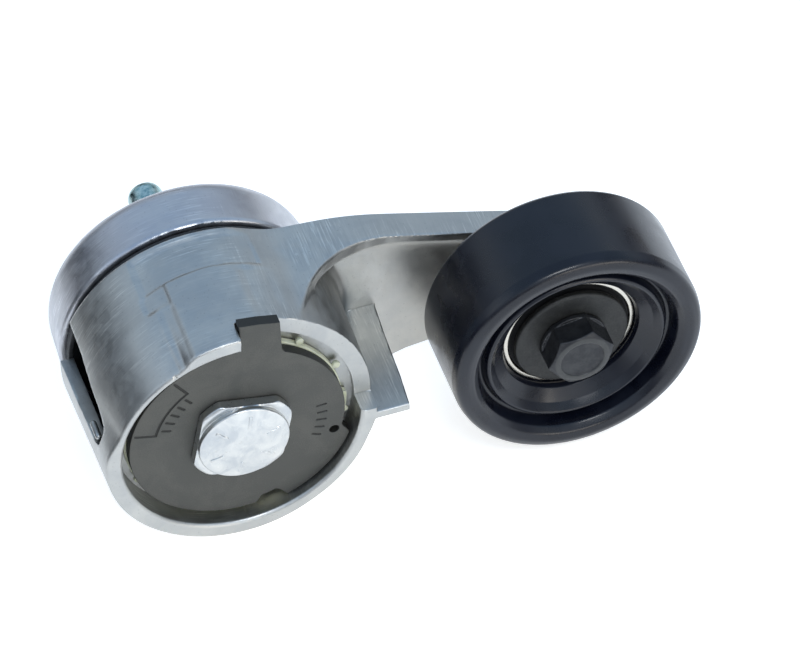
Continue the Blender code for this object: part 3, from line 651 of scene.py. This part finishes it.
def arm_field(x, y, w):
    r = np.sqrt(x * x + y * y)
    a = np.degrees(np.arctan2(y, x))
    # cup wall with its raised pad, lower band and the tapered far side
    wall = 40.2 - 1.3 * np.clip(w, -44, 0) / 43.7
    far = soft(107.5, 116.5, a) + soft(-176.0, -150.0, -a) * 0
    far = soft(107.5, 116.5, a) * (1 - soft(158.0, 176.0, a))
    wall = wall - 2.7 * far * np.clip((w + 21.5) / 21.5, 0, 1) ** 1.3
    low = (0.35 + 0.65 * soft(-90.0, -55.0, a)) * soft(-100.0, -60.0, a) * (1 - soft(-22.0, -6.0, a))
    wall = wall - 0.9 * low * np.clip((w + 20.0) / 20.0, 0, 1)
    ridge = -29.6 + 2.2 * ((a - 90.0) / 25.0) ** 2 * 0.5
    step = 0.85 * band(a, 66.5, 117.0, 1.5) * (1 - soft(ridge - 0.9, ridge + 0.5, w))
    strip = 0.55 * band(a, 107.5, 113.5, 1.6) * soft(-22.5, -20.5, w)
    pocket = 0.4 * band(a, 64.0, 77.0, 2.6) * soft(-28.5, -26.5, w) * (1 - soft(-16.0, -6.0, w))
    jog = 0.55 * band(a, 107.5, 118.5, 1.2) * soft(ridge - 0.8, ridge + 0.6, w) * (1 - soft(-22.8, -20.8, w))
    fade = soft(-43.4, -40.6, w)
    wall = wall - step * fade - strip - pocket - jog + 0.04 * wobble(x, y, w, 9.0, 1.0)
    cup = smax(r - wall, np.abs(w + 21.85) - 21.85, 1.1)
    # web, rib, boss and lug
    web = smax(polygon(x, y, WEB_OUTLINE), np.abs(w - 0.5 * (REAR_W + WEB_FRONT)) - 0.5 * (WEB_FRONT - REAR_W), 0.8)
    reach = np.interp(np.broadcast_to(x, np.broadcast(x, w).shape), RIB_X, RIB_W)
    lean = np.interp(np.broadcast_to(x, np.broadcast(x, w).shape), [20, 30, 40, 55, 60], [0.5, 0.66, 0.86, 0.98, 1.0])
    rib = smax(smax(polygon(x, y, RIB_OUTLINE), (w - reach) * lean, 1.2), REAR_W - w, 0.5)
    bx = x - CENTRES
    rb = np.sqrt(bx * bx + y * y)
    boss = smax(rb - (14.0 - 1.2 * soft(-33.0, -24.0, w)), np.abs(w + 33.85) - 9.85, 0.8)
    lug = smax(smax(polygon(x, w, LUG_OUTLINE), np.abs(y + 5.25) - 1.35, 0.5), 34.0 - x, 0.5)
    web = smin(web, boss, 5.0)
    rib = smin(rib, boss, 5.0)
    arm = smin(smin(smin(web, rib, 11.0), smin(cup, web, 5.5), 0.8), smin(cup, rib, 2.4), 0.8)
    arm = smin(arm, lug, 0.5)
    hub = smax(r - 16.5, np.abs(w + 25.0) - 21.0, 0.6)
    # the top of the blend never rises over the rib's own top line, and the rear stays one flat face
    top = polygon(x, y, [(-60.0, 42.4), *TOP_CLIP, (130.0, -60.0), (-60.0, -60.0)])
    arm = smax(arm, top, 0.4)
    arm = np.maximum(arm, REAR_W - w)
    arm = np.minimum(arm, hub)
    # machined and cored cuts
    chamber = smax(smax(17.0 - r, r - 37.2 + 0.35 * np.clip((w + 20) / 20, -1, 0), 0.5), w + 14.0, 2.0)
    recess = smax(r - 35.5, -9.0 - w, 0.3)
    mouth = r - 36.1 - w
    cut = np.minimum(np.minimum(chamber, recess), np.maximum(mouth, -1.0 - w))
    cut = np.minimum(cut, r - 12.6)
    half = math.radians(0.5 * (87.6 + 3.0))
    mid = math.radians(0.5 * (87.6 - 3.0))
    ux, uy = x * math.cos(mid) + y * math.sin(mid), -x * math.sin(mid) + y * math.cos(mid)
    wedge = np.abs(uy) * math.cos(half) - ux * math.sin(half)
    window = smax(smax(wedge, 31.0 - r, 0.3), -7.0 - w, 0.5)
    cut = np.minimum(cut, window)
    near = np.interp(np.broadcast_to(w, np.broadcast(x, y, w).shape), [-44.0, -32.0, -22.0, -14.0, -9.0], [154.4, 155.3, 157.6, 160.6, 163.5])
    slot = smax(smax(smax(np.maximum((near - a) * 0.7, (a - 175.5) * 0.7), 30.0 - r, 0.3), w + 7.0, 4.0), -60.0 - w, 0.5)
    cut = np.minimum(cut, slot)
    nick = np.sqrt((x * math.sin(math.radians(119)) - y * math.cos(math.radians(119))) ** 2 + (w - 0.15) ** 2) - 0.42
    cut = np.minimum(cut, np.maximum(nick, 30.0 - (x * math.cos(math.radians(119)) + y * math.sin(math.radians(119)))))
    cut = np.minimum(cut, np.maximum(rb - 5.3, -41.6 - w))
    arm = smax(arm, -cut, 0.35)
    # small rounded tab at the front end of the side slot
    tx, ty = 39.7 * math.cos(math.radians(173.0)), 39.7 * math.sin(math.radians(173.0))
    tab = np.sqrt((x - tx) ** 2 + (y - ty) ** 2 + (w - np.clip(w, -15.5, -10.5)) ** 2) - 0.95
    return smin(arm, tab, 0.4)


FINE = 0.5
arm_housing = carve(
    "arm_casting", arm_field, (-44.0, -44.0, -47.6), (117.5, 44.0, 1.8), FINE, cast_arm, "arm", ["arm_housing"])


# ---------------------------------------------------------------- base casting
def base_field(x, y, w):
    r = np.sqrt(x * x + y * y)
    a = np.arctan2(y, x)
    wall = 40.65 + 0.9 * np.clip((w + 47.4) / 17.1, -1.2, 0.0)
    wall = wall + 0.04 * wobble(x, y, w, 9.0, 2.4) - 0.04
    body = smax(r - wall, -67.0 - w, 6.0)
    body = smax(body, w + 47.4, 1.4)
    # shallow pockets and ribs on the rear face
    pockets = smax(smax(22.5 - r, r - 31.0, 1.2), w + 65.0, 0.8)
    spokes = np.abs(((a / (2 * math.pi / 9) + 0.25) % 1.0) - 0.5) * (2 * math.pi / 9) * r
    pockets = smax(pockets, 1.3 - spokes, 0.8)
    pin = np.sqrt((x + 4.9) ** 2 + (y - 27.2) ** 2)
    pockets = smax(pockets, 7.4 - pin, 0.8)
    body = smax(body, -pockets, 0.6)
    pad = smax(r - 20.3, np.abs(w + 66.0) - 2.0, 0.5)
    body = smin(body, pad, 1.2)
    body = np.maximum(body, -68.0 - w)
    post = smax(smax(r - 16.0, w + 48.0, 0.8), -61.5 - w, 0.2)
    chamber = smax(smax(r - 37.2, -61.0 - w, 1.8), 16.0 - r, 0.8)
    chamber = np.minimum(chamber, np.maximum(r - 37.2, -49.0 - w))
    body = smax(body, -chamber, 0.6)
    body = np.minimum(body, post)
    bore = np.minimum(np.maximum(r - 9.8, -64.7 - w), r - 5.6)
    body = smax(body, -bore, 0.3)
    body = smax(body, -np.maximum(pin - 5.45, w + 63.4), 0.4)
    return body


base_housing = carve(
    "base_casting", base_field, (-42.0, -42.0, -69.5), (42.0, 42.0, -45.5), FINE + 0.1, cast_base, "base", ["base_housing"])

pin = turned(
    "dowel_pin",
    rounded([(0, -63.8), (0, -77.35), (3.4, -77.3, 1.6), (4.7, -76.7, 1.2), (5.18, -75.2, 0.9), (5.18, -63.8, 0.2)], 0.3),
    pin_zinc, "base", ["locating_pin"], steps=64)
pin.data.transform(Matrix.Translation((-0.0049, 0.0, 0.0272)))

turned(
    "pivot_sleeve", rounded([(6.4, -6.8), (9.3, -6.8), (9.5, -7.1), (9.5, -64.4), (6.4, -64.4)], 0.2),
    tube_steel, "base", ["pivot_tube"], steps=96)
turned("wear_ring", rounded([(37.5, -44.0), (38.9, -44.0), (38.9, -47.1), (37.5, -47.1)], 0.3), black_nylon, "base", ["rear_wear_ring"])


# ---------------------------------------------------------------- cap plate
PLATE_OUTLINE = (
    arc(31.5, -16.0, 62.0, 30)
    + [(14.6, 28.2), (14.05, 29.2), (14.0, math.sqrt(42.6 ** 2 - 14.0 ** 2)), (8.0, 41.7), (2.1, math.sqrt(42.6 ** 2 - 2.1 ** 2)), (2.1, 33.8), (1.5, 32.9), (0.4, 32.7)]
    + arc(32.7, 91.0, 276.0, 70)
    + [(3.6, -32.2), (4.2, -31.3)]
    + arc(30.4, 279.5, 288.0, 4)
    + [(10.2, -29.4), (11.4, -30.6), (12.6, -32.4)]
    + arc(34.8, 292.5, 338.5, 18)
    + [(32.0, -11.6), (30.8, -9.8)]
)


def radial(x, y, angle, r0, r1):
    """Distance to a radial line on the plate."""
    c, s = math.cos(math.radians(angle)), math.sin(math.radians(angle))
    along = np.clip(x * c + y * s, r0, r1)
    return np.sqrt((x - along * c) ** 2 + (y - along * s) ** 2)


def curve_line(x, y, radius, a0, a1):
    a = np.degrees(np.arctan2(y, x)) % 360.0
    d = np.abs(np.sqrt(x * x + y * y) - radius)
    return np.where((a >= a0) & (a <= a1), d, 9.0)


def plate_field(x, y, w):
    edge = polygon(x, y, PLATE_OUTLINE)
    r = np.sqrt(x * x + y * y)
    hole = np.sqrt((x - 29.6 * math.cos(math.radians(-19.5))) ** 2 + (y - 29.6 * math.sin(math.radians(-19.5))) ** 2) - 1.45
    flat = np.maximum(np.maximum(edge, 5.4 - r), -hole)
    thick = np.abs(w + 4.75) - 1.75
    q = 0.28
    plate = np.minimum(np.maximum(flat + q, thick + q), 0.0) + np.sqrt(np.maximum(flat + q, 0) ** 2 + np.maximum(thick + q, 0) ** 2) - q
    # range bracket and plain tick marks, rolled into the plate
    marks = np.minimum(radial(x, y, 124.0, 25.5, 31.6), radial(x, y, 164.0, 25.5, 31.6))
    marks = np.minimum(marks, curve_line(x, y, 25.5, 124.0, 164.0))
    for k in range(5):
        marks = np.minimum(marks, radial(x, y, 128.5 + 7.75 * k, 21.6, 23.9))
    for k in range(5):
        marks = np.minimum(marks, radial(x, y, -24.0 + 7.0 * k, 23.4, 25.8) + 0.05)
    groove = np.sqrt(marks ** 2 + (w + 3.0) ** 2) - 0.42
    return smax(plate, -groove, 0.08)


plate = carve(
    "range_plate", plate_field, (-33.6, -35.6, -7.1), (35.6, 43.4, -2.4), 0.23, plate_paint, "base", ["cap_plate"], smooth_angle=38)


def washer_field(x, y, w):
    r = np.sqrt(x * x + y * y)
    a = np.degrees(np.arctan2(y, x))
    rim = 33.2 - 1.35 * band(a, 1.0, 88.0, 1.0)
    ring = smax(np.maximum(r - rim, 13.3 - r), np.abs(w + 7.75) - 0.95, 0.3)
    for angle in (22.0, 52.0):
        cx, cy = 33.0 * math.cos(math.radians(angle)), 33.0 * math.sin(math.radians(angle))
        nub = np.sqrt((x - cx) ** 2 + (y - cy) ** 2 + ((w + 7.2) * 0.95) ** 2) - 1.2
        ring = smin(ring, nub, 0.35)
    for angle in (204.0, 284.0, 348.0):
        cx, cy = 33.2 * math.cos(math.radians(angle)), 33.2 * math.sin(math.radians(angle))
        tooth = np.sqrt((x - cx) ** 2 + (y - cy) ** 2 + ((w + 7.2) * 0.9) ** 2) - 0.95
        ring = smin(ring, tooth, 0.5)
    # everything stays under the back of the plate, which sweeps over it as the arm swings
    ring = smax(smax(ring, w + 6.72, 0.15), -8.7 - w, 0.1)
    return np.maximum(ring, np.minimum(r - 35.2, 100.0))


washer = carve(
    "nylon_washer", washer_field, (-36.0, -36.0, -9.2), (36.0, 36.0, -4.2), 0.34, nylon, "arm", ["thrust_washer"], smooth_angle=45)


# ---------------------------------------------------------------- mounting bolt
def head_field(x, y, w):
    turn = math.radians(78.0)
    u, v = x * math.cos(turn) + y * math.sin(turn), -x * math.sin(turn) + y * math.cos(turn)
    r = np.sqrt(x * x + y * y)
    square = smax(np.abs(u) - 13.5, np.abs(v) - 13.5, 0.5)
    square = smax(smax(square, r - 16.1, 0.4), (r - 16.1 + (w + 0.2) * 1.6) * 0.53, 0.3)
    square = smax(square, w - 0.35, 0.25)
    crown = 3.1 - 1.2 * (np.minimum(r, 14.0) / 13.6) ** 2.2
    disc = smax(r - 13.45, (w - crown) * 0.95, 0.5)
    head = smin(disc, square, 0.3)
    # grade marks: short raised bars, evenly spaced
    bars = 9.0
    for k in range(6):
        angle = 60.0 * k + 18.0
        c, s = math.cos(math.radians(angle)), math.sin(math.radians(angle))
        along, off = x * c + y * s, -x * s + y * c
        bars = np.minimum(bars, smax(np.abs(off) - 0.42, np.abs(along - 8.9) - 2.1, 0.3))
    bars = smax(bars, np.abs(w - crown) - 0.26, 0.2)
    head = smin(head, bars, 0.25)
    head = smax(head, -2.7 - w, 0.3)
    return np.maximum(head, w - 3.32)


bolt = carve(
    "mounting_bolt_head", head_field, (-17.2, -17.2, -3.4), (17.2, 17.2, 3.9), 0.22, zinc, "base", ["mounting_bolt"], smooth_angle=30)


def thread_field(x, y, w, radius=5.0, pitch=1.5, end=-90.0):
    r = np.sqrt(x * x + y * y)
    a = np.arctan2(y, x) / (2 * math.pi)
    wave = np.abs(((w / pitch - a) % 1.0) - 0.5) * 2.0
    outer = radius - 0.86 * np.clip(1.12 * wave - 0.12, 0, 1)
    rod = (r - outer) * 0.75
    taper = (r - (radius - 1.3) - (w - end)) * 0.70
    return np.maximum(np.maximum(rod, taper), np.maximum(end - w, w + 61.5))


thread = carve(
    "mounting_bolt_thread", thread_field, (-5.4, -5.4, -90.4), (5.4, 5.4, -61.0), 0.24, zinc, "base", smooth_angle=50)
shank = turned(
    "mounting_bolt_shank", [(0, -2.5), (5.0, -2.5), (5.0, -61.2), (4.6, -61.9), (0, -61.9)], zinc, "base", steps=96)


# ---------------------------------------------------------------- torsion spring
def tube_along(name, points, radius, sides, made, body, replaces):
    points = np.asarray(points, float)
    tangent = np.gradient(points, axis=0)
    tangent /= np.linalg.norm(tangent, axis=1)[:, None]
    up = np.array([0.0, 0.0, 1.0])
    side = np.cross(tangent, up)
    side /= np.linalg.norm(side, axis=1)[:, None]
    lift = np.cross(side, tangent)
    a = np.arange(sides) * 2 * math.pi / sides
    rings = points[:, None, :] + radius * (np.cos(a)[None, :, None] * side[:, None, :] + np.sin(a)[None, :, None] * lift[:, None, :])
    n = len(points)
    verts = rings.reshape(-1, 3)
    i, k = np.meshgrid(np.arange(n - 1), np.arange(sides), indexing="ij")
    j = (k + 1) % sides
    quads = np.stack([i * sides + k, (i + 1) * sides + k, (i + 1) * sides + j, i * sides + j], -1).reshape(-1, 4)
    mesh = bpy.data.meshes.new(name)
    faces = [tuple(int(v) for v in q) for q in quads]
    faces.append(tuple(range(sides)))
    faces.append(tuple(reversed(range((n - 1) * sides, n * sides))))
    mesh.from_pydata([tuple(v) for v in to_row(verts)], [], faces)
    work = bmesh.new()
    work.from_mesh(mesh)
    bmesh.ops.recalc_face_normals(work, faces=work.faces)
    work.to_mesh(mesh)
    work.free()
    mesh.polygons.foreach_set("use_smooth", np.ones(len(mesh.polygons), bool))
    mesh.set_sharp_from_angle(angle=math.radians(50))
    obj = bpy.data.objects.new(name, mesh)
    bpy.context.scene.collection.objects.link(obj)
    mesh.materials.append(made)
    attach(obj, body)
    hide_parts(*replaces)
    return obj


turns = np.linspace(0, 4.5, 4 * 90 + 46)
coil = np.stack(
    [26.8 * np.cos(2 * math.pi * turns + math.radians(200)), 26.8 * np.sin(2 * math.pi * turns + math.radians(200)), -20.0 - 8.0 * turns], 1)
tube_along("coil_spring", coil, 3.2, 20, spring_steel, "base", ["torsion_spring"])


# ---------------------------------------------------------------- pulley
LIP = [
    # front, from the bore outwards
    (20.3, -6.7, 0.2), (20.9, -5.3, 0.8), (24.3, -2.6, 1.2), (26.4, -0.3, 1.0), (27.3, -0.9, 0.7), (28.2, -3.8, 0.8),
    (29.6, -3.2, 0.9), (30.5, 0.9, 1.8), (32.3, 2.75, 2.2), (34.6, 3.2, 3.0), (37.3, 2.3, 3.2), (38.0, -0.8, 3.2),
    (38.0, -12.0, 0.0), (38.0, -25.7, 1.8), (36.9, -27.2, 1.2),
    (34.2, -27.2, 0.8), (33.0, -26.4, 0.8),
    # inside, back towards the bore
    (32.7, -24.0, 2.0), (32.7, -6.8, 1.6), (30.6, -4.9, 1.2), (27.0, -4.7, 1.6), (24.4, -6.8, 1.6), (23.0, -9.8, 1.6),
    (23.0, -19.5, 0.4), (20.3, -19.6, 0.3),
]
pulley = turned("idler_pulley", rounded(LIP, 1.0, 7), pulley_paint, "wheel", ["pulley"], x=CENTRES, steps=288, smooth_angle=60)

mid_w = -13.3
groove = 3.67


def raceway(shoulder_r, side, count=14):
    reach = abs(14.25 - shoulder_r)
    open_angle = math.acos(reach / groove)
    return [
        (14.25 + side * groove * math.cos(-open_angle + 2 * open_angle * i / count), mid_w - groove * math.sin(-open_angle + 2 * open_angle * i / count))
        for i in range(count + 1)
    ]


outer = [(18.5, -8.6), (18.6, -7.55), (18.8, -7.32), (19.55, -7.32), (19.85, -7.45), (20.0, -7.8), (20.0, -18.8), (19.8, -19.15), (19.4, -19.3), (18.3, -19.3),
         (18.3, -17.7), (16.9, -17.4), *raceway(16.9, 1)[::-1], (16.9, -9.2), (18.3, -8.9)]
turned("outer_ring", outer, race_steel, "wheel", ["bearing_outer_race"], x=CENTRES, steps=224, smooth_angle=35)
inner = [(8.5, -7.8), (9.0, -7.3), (11.9, -7.3), (12.2, -7.7), *raceway(12.2, -1), (12.2, -18.9), (11.9, -19.3), (9.0, -19.3), (8.5, -18.8)]
turned("inner_ring", inner, inner_steel, "arm", ["bearing_inner_race"], x=CENTRES, steps=160, smooth_angle=35)
for name, node, top, side in (("seal_front", "bearing_seal_front", -7.9, 1), ("seal_rear", "bearing_seal_rear", -18.7, -1)):
    reach = 18.35 if side > 0 else 18.1
    lip = [(12.5, top), (12.9, top), (13.2, top - 0.12 * side), (13.6, top), (16.6, top), (17.0, top - 0.18 * side), (17.5, top - 0.18 * side), (17.8, top),
           (reach, top - 0.05 * side), (reach, top - 0.7 * side), (12.5, top - 0.7 * side)]
    turned(name, lip, seal_rubber, "wheel", [node], x=CENTRES, steps=160)

dust_cap = turned(
    "dust_cap",
    rounded([(5.3, -4.6, 0.0), (16.2, -4.6, 1.0), (17.0, -4.75, 0.6), (17.3, -5.2, 0.4), (17.3, -6.4, 0.1), (16.3, -6.4, 0.1), (16.2, -5.95, 0.2), (11.4, -5.9, 0.3), (11.4, -7.0, 0.1), (5.3, -7.0, 0.0)], 0.2, 4),
    cap_black, "arm", ["dust_cap_front"], x=CENTRES, steps=160)
turned(
    "dust_shield",
    rounded([(5.3, -19.6), (11.6, -19.6, 0.6), (13.0, -20.4, 0.6), (17.4, -20.4, 0.2), (17.4, -21.4, 0.3), (5.3, -21.4)], 0.1, 3),
    shield_steel, "arm", ["dust_shield_rear"], x=CENTRES, steps=160)
turned("spacer", rounded([(5.3, -21.7), (11.0, -21.7), (11.0, -23.7), (5.3, -23.7)], 0.25, 3), spacer_steel, "arm", ["rear_spacer"], x=CENTRES, steps=128)


def hex_field(x, y, w):
    r = np.sqrt(x * x + y * y)
    flats = -9.0
    for k in range(3):
        angle = math.radians(60.0 * k + 39.0)
        flats = np.maximum(flats, np.abs(x * math.cos(angle) + y * math.sin(angle)) - 8.85)
    flats = smax(flats, r - 10.15, 0.3)
    cone = (r - 8.0 + (w - 4.6) * 1.7) * 0.51
    head = smax(smax(flats, cone, 0.35), w - 4.6, 0.35)
    dish = smax(r - 6.6, 4.1 - w, 0.6)
    head = smax(head, -dish, 0.35)
    washer = smax(r - 9.9, np.abs(w + 3.6) - 0.7, 0.4)
    head = smax(head, -4.25 - w, 0.2)
    return smin(head, smax(washer, -4.25 - w, 0.1), 0.4)


bolt_head = carve(
    "idler_bolt_head", hex_field, (-11.0, -11.0, -4.8), (11.0, 11.0, 5.4), 0.19, bolt_black, "arm", ["pulley_bolt"], x=CENTRES, smooth_angle=30)
stem = turned(
    "idler_bolt_shank", [(0, -4.0), (5.0, -4.0), (5.0, -40.0), (3.9, -41.2), (0, -41.2)], bolt_black, "arm", x=CENTRES, steps=96)

for i in range(8):
    a = 2 * math.pi * (i + 0.5) / 8
    mesh = bpy.data.meshes.new("bearing_ball_%d" % (i + 1))
    shape = bmesh.new()
    bmesh.ops.create_icosphere(shape, subdivisions=4, radius=0.00337)
    shape.to_mesh(mesh)
    shape.free()
    mesh.transform(Matrix.Translation(((CENTRES + 14.25 * math.cos(a)) * 0.001, (-mid_w - DEPTH) * 0.001, 14.25 * math.sin(a) * 0.001)))
    mesh.polygons.foreach_set("use_smooth", np.ones(len(mesh.polygons), bool))
    mesh.materials.append(ball_steel)
    ball = bpy.data.objects.new(mesh.name, mesh)
    bpy.context.scene.collection.objects.link(ball)
    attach(ball, "cage")
    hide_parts("ball_%d" % (i + 1))

# CAD nodes whose shape stays, with their own finishes
for node, made in (
    ("damping_shoe", black_nylon), ("damper_spring", leaf_steel), ("pivot_bushing_front", bush), ("pivot_bushing_rear", bush),
    ("bearing_cage", cage_metal),
):
    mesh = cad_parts[node].data
    if len(mesh.materials):
        for i in range(len(mesh.materials)):
            mesh.materials[i] = made
    else:
        mesh.materials.append(made)


# ---------------------------------------------------------------- floor, light and camera
floor_z = -0.0423
mesh = bpy.data.meshes.new("floor")
mesh.from_pydata([(-3, -3, floor_z), (3, -3, floor_z), (3, 3, floor_z), (-3, 3, floor_z)], [], [(0, 1, 2, 3)])
floor = bpy.data.objects.new("floor", mesh)
bpy.context.scene.collection.objects.link(floor)
p = Paint("pale_floor", (0.90, 0.90, 0.90), 0.0, 0.8)
soft_tone = p.noise(3.0, 2.0, 0.5)
p.colour(p.mix(p.ramp(soft_tone, 0.3, 0.7), (0.90, 0.90, 0.895), (0.92, 0.92, 0.92)))
p.shader.inputs["Specular IOR Level"].default_value = 0.1
p.shader.inputs["Emission Color"].default_value = (1.0, 0.985, 0.95, 1.0)
p.shader.inputs["Emission Strength"].default_value = 0.66
mesh.materials.append(p.made)

# a dark card stood to the left as a studio flag: it shades the left side and is never in a picture itself
mesh = bpy.data.meshes.new("flag")
mesh.from_pydata([(-0.185, -0.20, floor_z), (-0.175, 0.32, floor_z), (-0.175, 0.32, 0.09), (-0.185, -0.20, 0.09)], [], [(0, 1, 2, 3)])
flag = bpy.data.objects.new("flag", mesh)
bpy.context.scene.collection.objects.link(flag)
p = Paint("dark_card", (0.05, 0.052, 0.056), 0.0, 0.9)
p.colour(p.mix(p.ramp(p.noise(40.0, 2.0, 0.5), 0.3, 0.7), (0.045, 0.047, 0.052), (0.06, 0.062, 0.066)))
mesh.materials.append(p.made)
flag.visible_camera = False

world = bpy.data.worlds.new("studio")
bpy.context.scene.world = world
world.use_nodes = True
tree = world.node_tree
back = tree.nodes["Background"]
where = tree.nodes.new("ShaderNodeTexCoord")
split = tree.nodes.new("ShaderNodeSeparateXYZ")
tree.links.new(where.outputs["Generated"], split.inputs[0])
tones = tree.nodes.new("ShaderNodeValToRGB")
tones.color_ramp.interpolation = "EASE"
tones.color_ramp.elements[0].position = 0.0
tones.color_ramp.elements[0].color = (0.38, 0.375, 0.36, 1)
tones.color_ramp.elements[1].position = 1.0
tones.color_ramp.elements[1].color = (0.38, 0.54, 0.78, 1)
for position, colour in ((0.22, (0.19, 0.215, 0.26)), (0.46, (0.74, 0.86, 1.0)), (0.64, (0.42, 0.59, 0.80))):
    e = tones.color_ramp.elements.new(position)
    e.color = (*colour, 1)
tree.links.new(split.outputs["Z"], tones.inputs["Fac"])
tree.links.new(tones.outputs["Color"], back.inputs["Color"])
back.inputs["Strength"].default_value = 1.05


def softbox(name, where, target, size_x, size_y, power, colour):
    data = bpy.data.lights.new(name, "AREA")
    data.shape = "RECTANGLE"
    data.size, data.size_y = size_x, size_y
    data.energy = power
    data.color = colour
    obj = bpy.data.objects.new(name, data)
    obj.location = where
    obj.rotation_euler = (Vector(target) - Vector(where)).to_track_quat("-Z", "Y").to_euler()
    bpy.context.scene.collection.objects.link(obj)
    return obj


softbox("key_front_top", (0.10, -0.95, 1.15), (0.03, -0.05, 0.0), 0.55, 0.32, 5.5, (0.98, 0.99, 1.0))
softbox("left_fill", (-1.1, -0.1, 0.75), (0.0, -0.03, 0.0), 0.9, 0.7, 0.9, (0.93, 0.95, 1.0))
softbox("warm_low", (0.5, -1.1, 0.25), (0.03, -0.05, 0.0), 0.8, 0.3, 3.0, (1.0, 0.95, 0.88))

camera = bpy.data.objects.new("camera", bpy.data.cameras.new("camera"))
bpy.context.scene.collection.objects.link(camera)
bpy.context.scene.camera = camera
right = Vector((0.948, -0.316, -0.028)).normalized()
ahead = Vector((0.194, 0.648, -0.736)).normalized()
right = (right - ahead * right.dot(ahead)).normalized()
up = right.cross(ahead)
camera.matrix_world = Matrix((
    (right.x, up.x, -ahead.x, -0.22604),
    (right.y, up.y, -ahead.y, -0.98288),
    (right.z, up.z, -ahead.z, 1.06542),
    (0, 0, 0, 1),
))
camera.data.sensor_width = 36.0
camera.data.lens = 225.04
camera.data.clip_start = 0.01
camera.data.clip_end = 20.0
